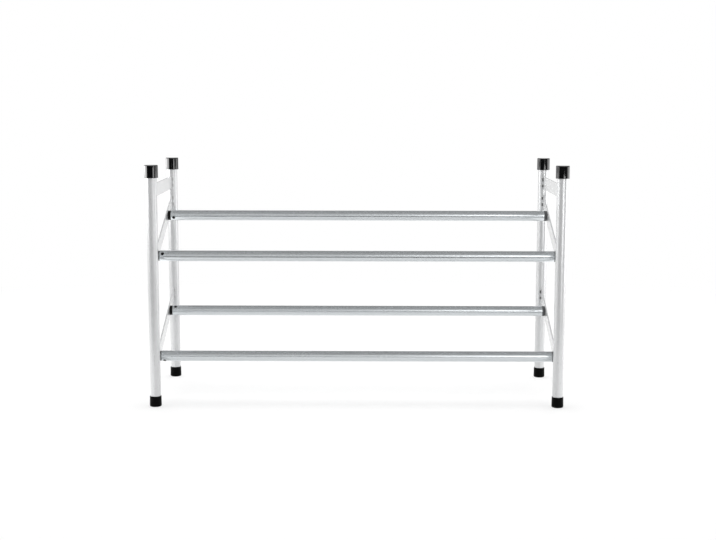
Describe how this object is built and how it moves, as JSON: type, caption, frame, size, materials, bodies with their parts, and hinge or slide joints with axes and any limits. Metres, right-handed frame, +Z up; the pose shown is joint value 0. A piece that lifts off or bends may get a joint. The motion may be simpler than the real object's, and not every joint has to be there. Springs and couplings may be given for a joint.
{
  "type": "pull-out shoe rack",
  "caption": "Telescopic metal shoe rack: end frames of round posts and flat strips, joined by sloping shelves of tubular rails that slide out sideways.",
  "frame": {"origin": "on the floor, under the middle of the closed rack", "axes": "+X along the rails, the way the right end frame is pulled out; +Y to the back; +Z up"},
  "size_m": [0.6202, 0.226, 0.36],
  "materials": {
    "frame_silver": "satin silver paint",
    "rail_silver": "satin silver paint",
    "inner_rail_silver": "satin silver paint",
    "black_plastic": "glossy moulded black",
    "glide_grey": "satin dark grey",
    "screw_zinc": "bright zinc"
  },
  "bodies": {
    "left_frame": {"left_front_post": "frame_silver", "left_rear_post": "frame_silver", "left_top_strip": "frame_silver", "left_upper_shelf_strip": "frame_silver", "left_lower_shelf_strip": "frame_silver", "left_weld_tacks": "frame_silver", "left_front_cap": "black_plastic", "left_rear_cap": "black_plastic", "left_front_foot": "black_plastic", "left_rear_foot": "black_plastic", "left_screws": "screw_zinc", "outer_tube_upper_front": "rail_silver", "left_plug_upper_front": "black_plastic", "mouth_collar_upper_front": "glide_grey", "outer_tube_upper_rear": "rail_silver", "left_plug_upper_rear": "black_plastic", "mouth_collar_upper_rear": "glide_grey", "outer_tube_lower_front": "rail_silver", "left_plug_lower_front": "black_plastic", "mouth_collar_lower_front": "glide_grey", "outer_tube_lower_rear": "rail_silver", "left_plug_lower_rear": "black_plastic", "mouth_collar_lower_rear": "glide_grey"},
    "right_frame": {"right_front_post": "frame_silver", "right_rear_post": "frame_silver", "right_top_strip": "frame_silver", "right_upper_shelf_strip": "frame_silver", "right_lower_shelf_strip": "frame_silver", "right_weld_tacks": "frame_silver", "right_front_cap": "black_plastic", "right_rear_cap": "black_plastic", "right_front_foot": "black_plastic", "right_rear_foot": "black_plastic", "right_screws": "screw_zinc", "inner_tube_upper_front": "inner_rail_silver", "right_plug_upper_front": "black_plastic", "glide_bush_upper_front": "glide_grey", "inner_tube_upper_rear": "inner_rail_silver", "right_plug_upper_rear": "black_plastic", "glide_bush_upper_rear": "glide_grey", "inner_tube_lower_front": "inner_rail_silver", "right_plug_lower_front": "black_plastic", "glide_bush_lower_front": "glide_grey", "inner_tube_lower_rear": "inner_rail_silver", "right_plug_lower_rear": "black_plastic", "glide_bush_lower_rear": "glide_grey"}
  },
  "joints": [
    {"name": "pull_out", "type": "slide", "parent": "left_frame", "child": "right_frame", "axis": [1, 0, 0], "range_m": [0, 0.54]}
  ]
}
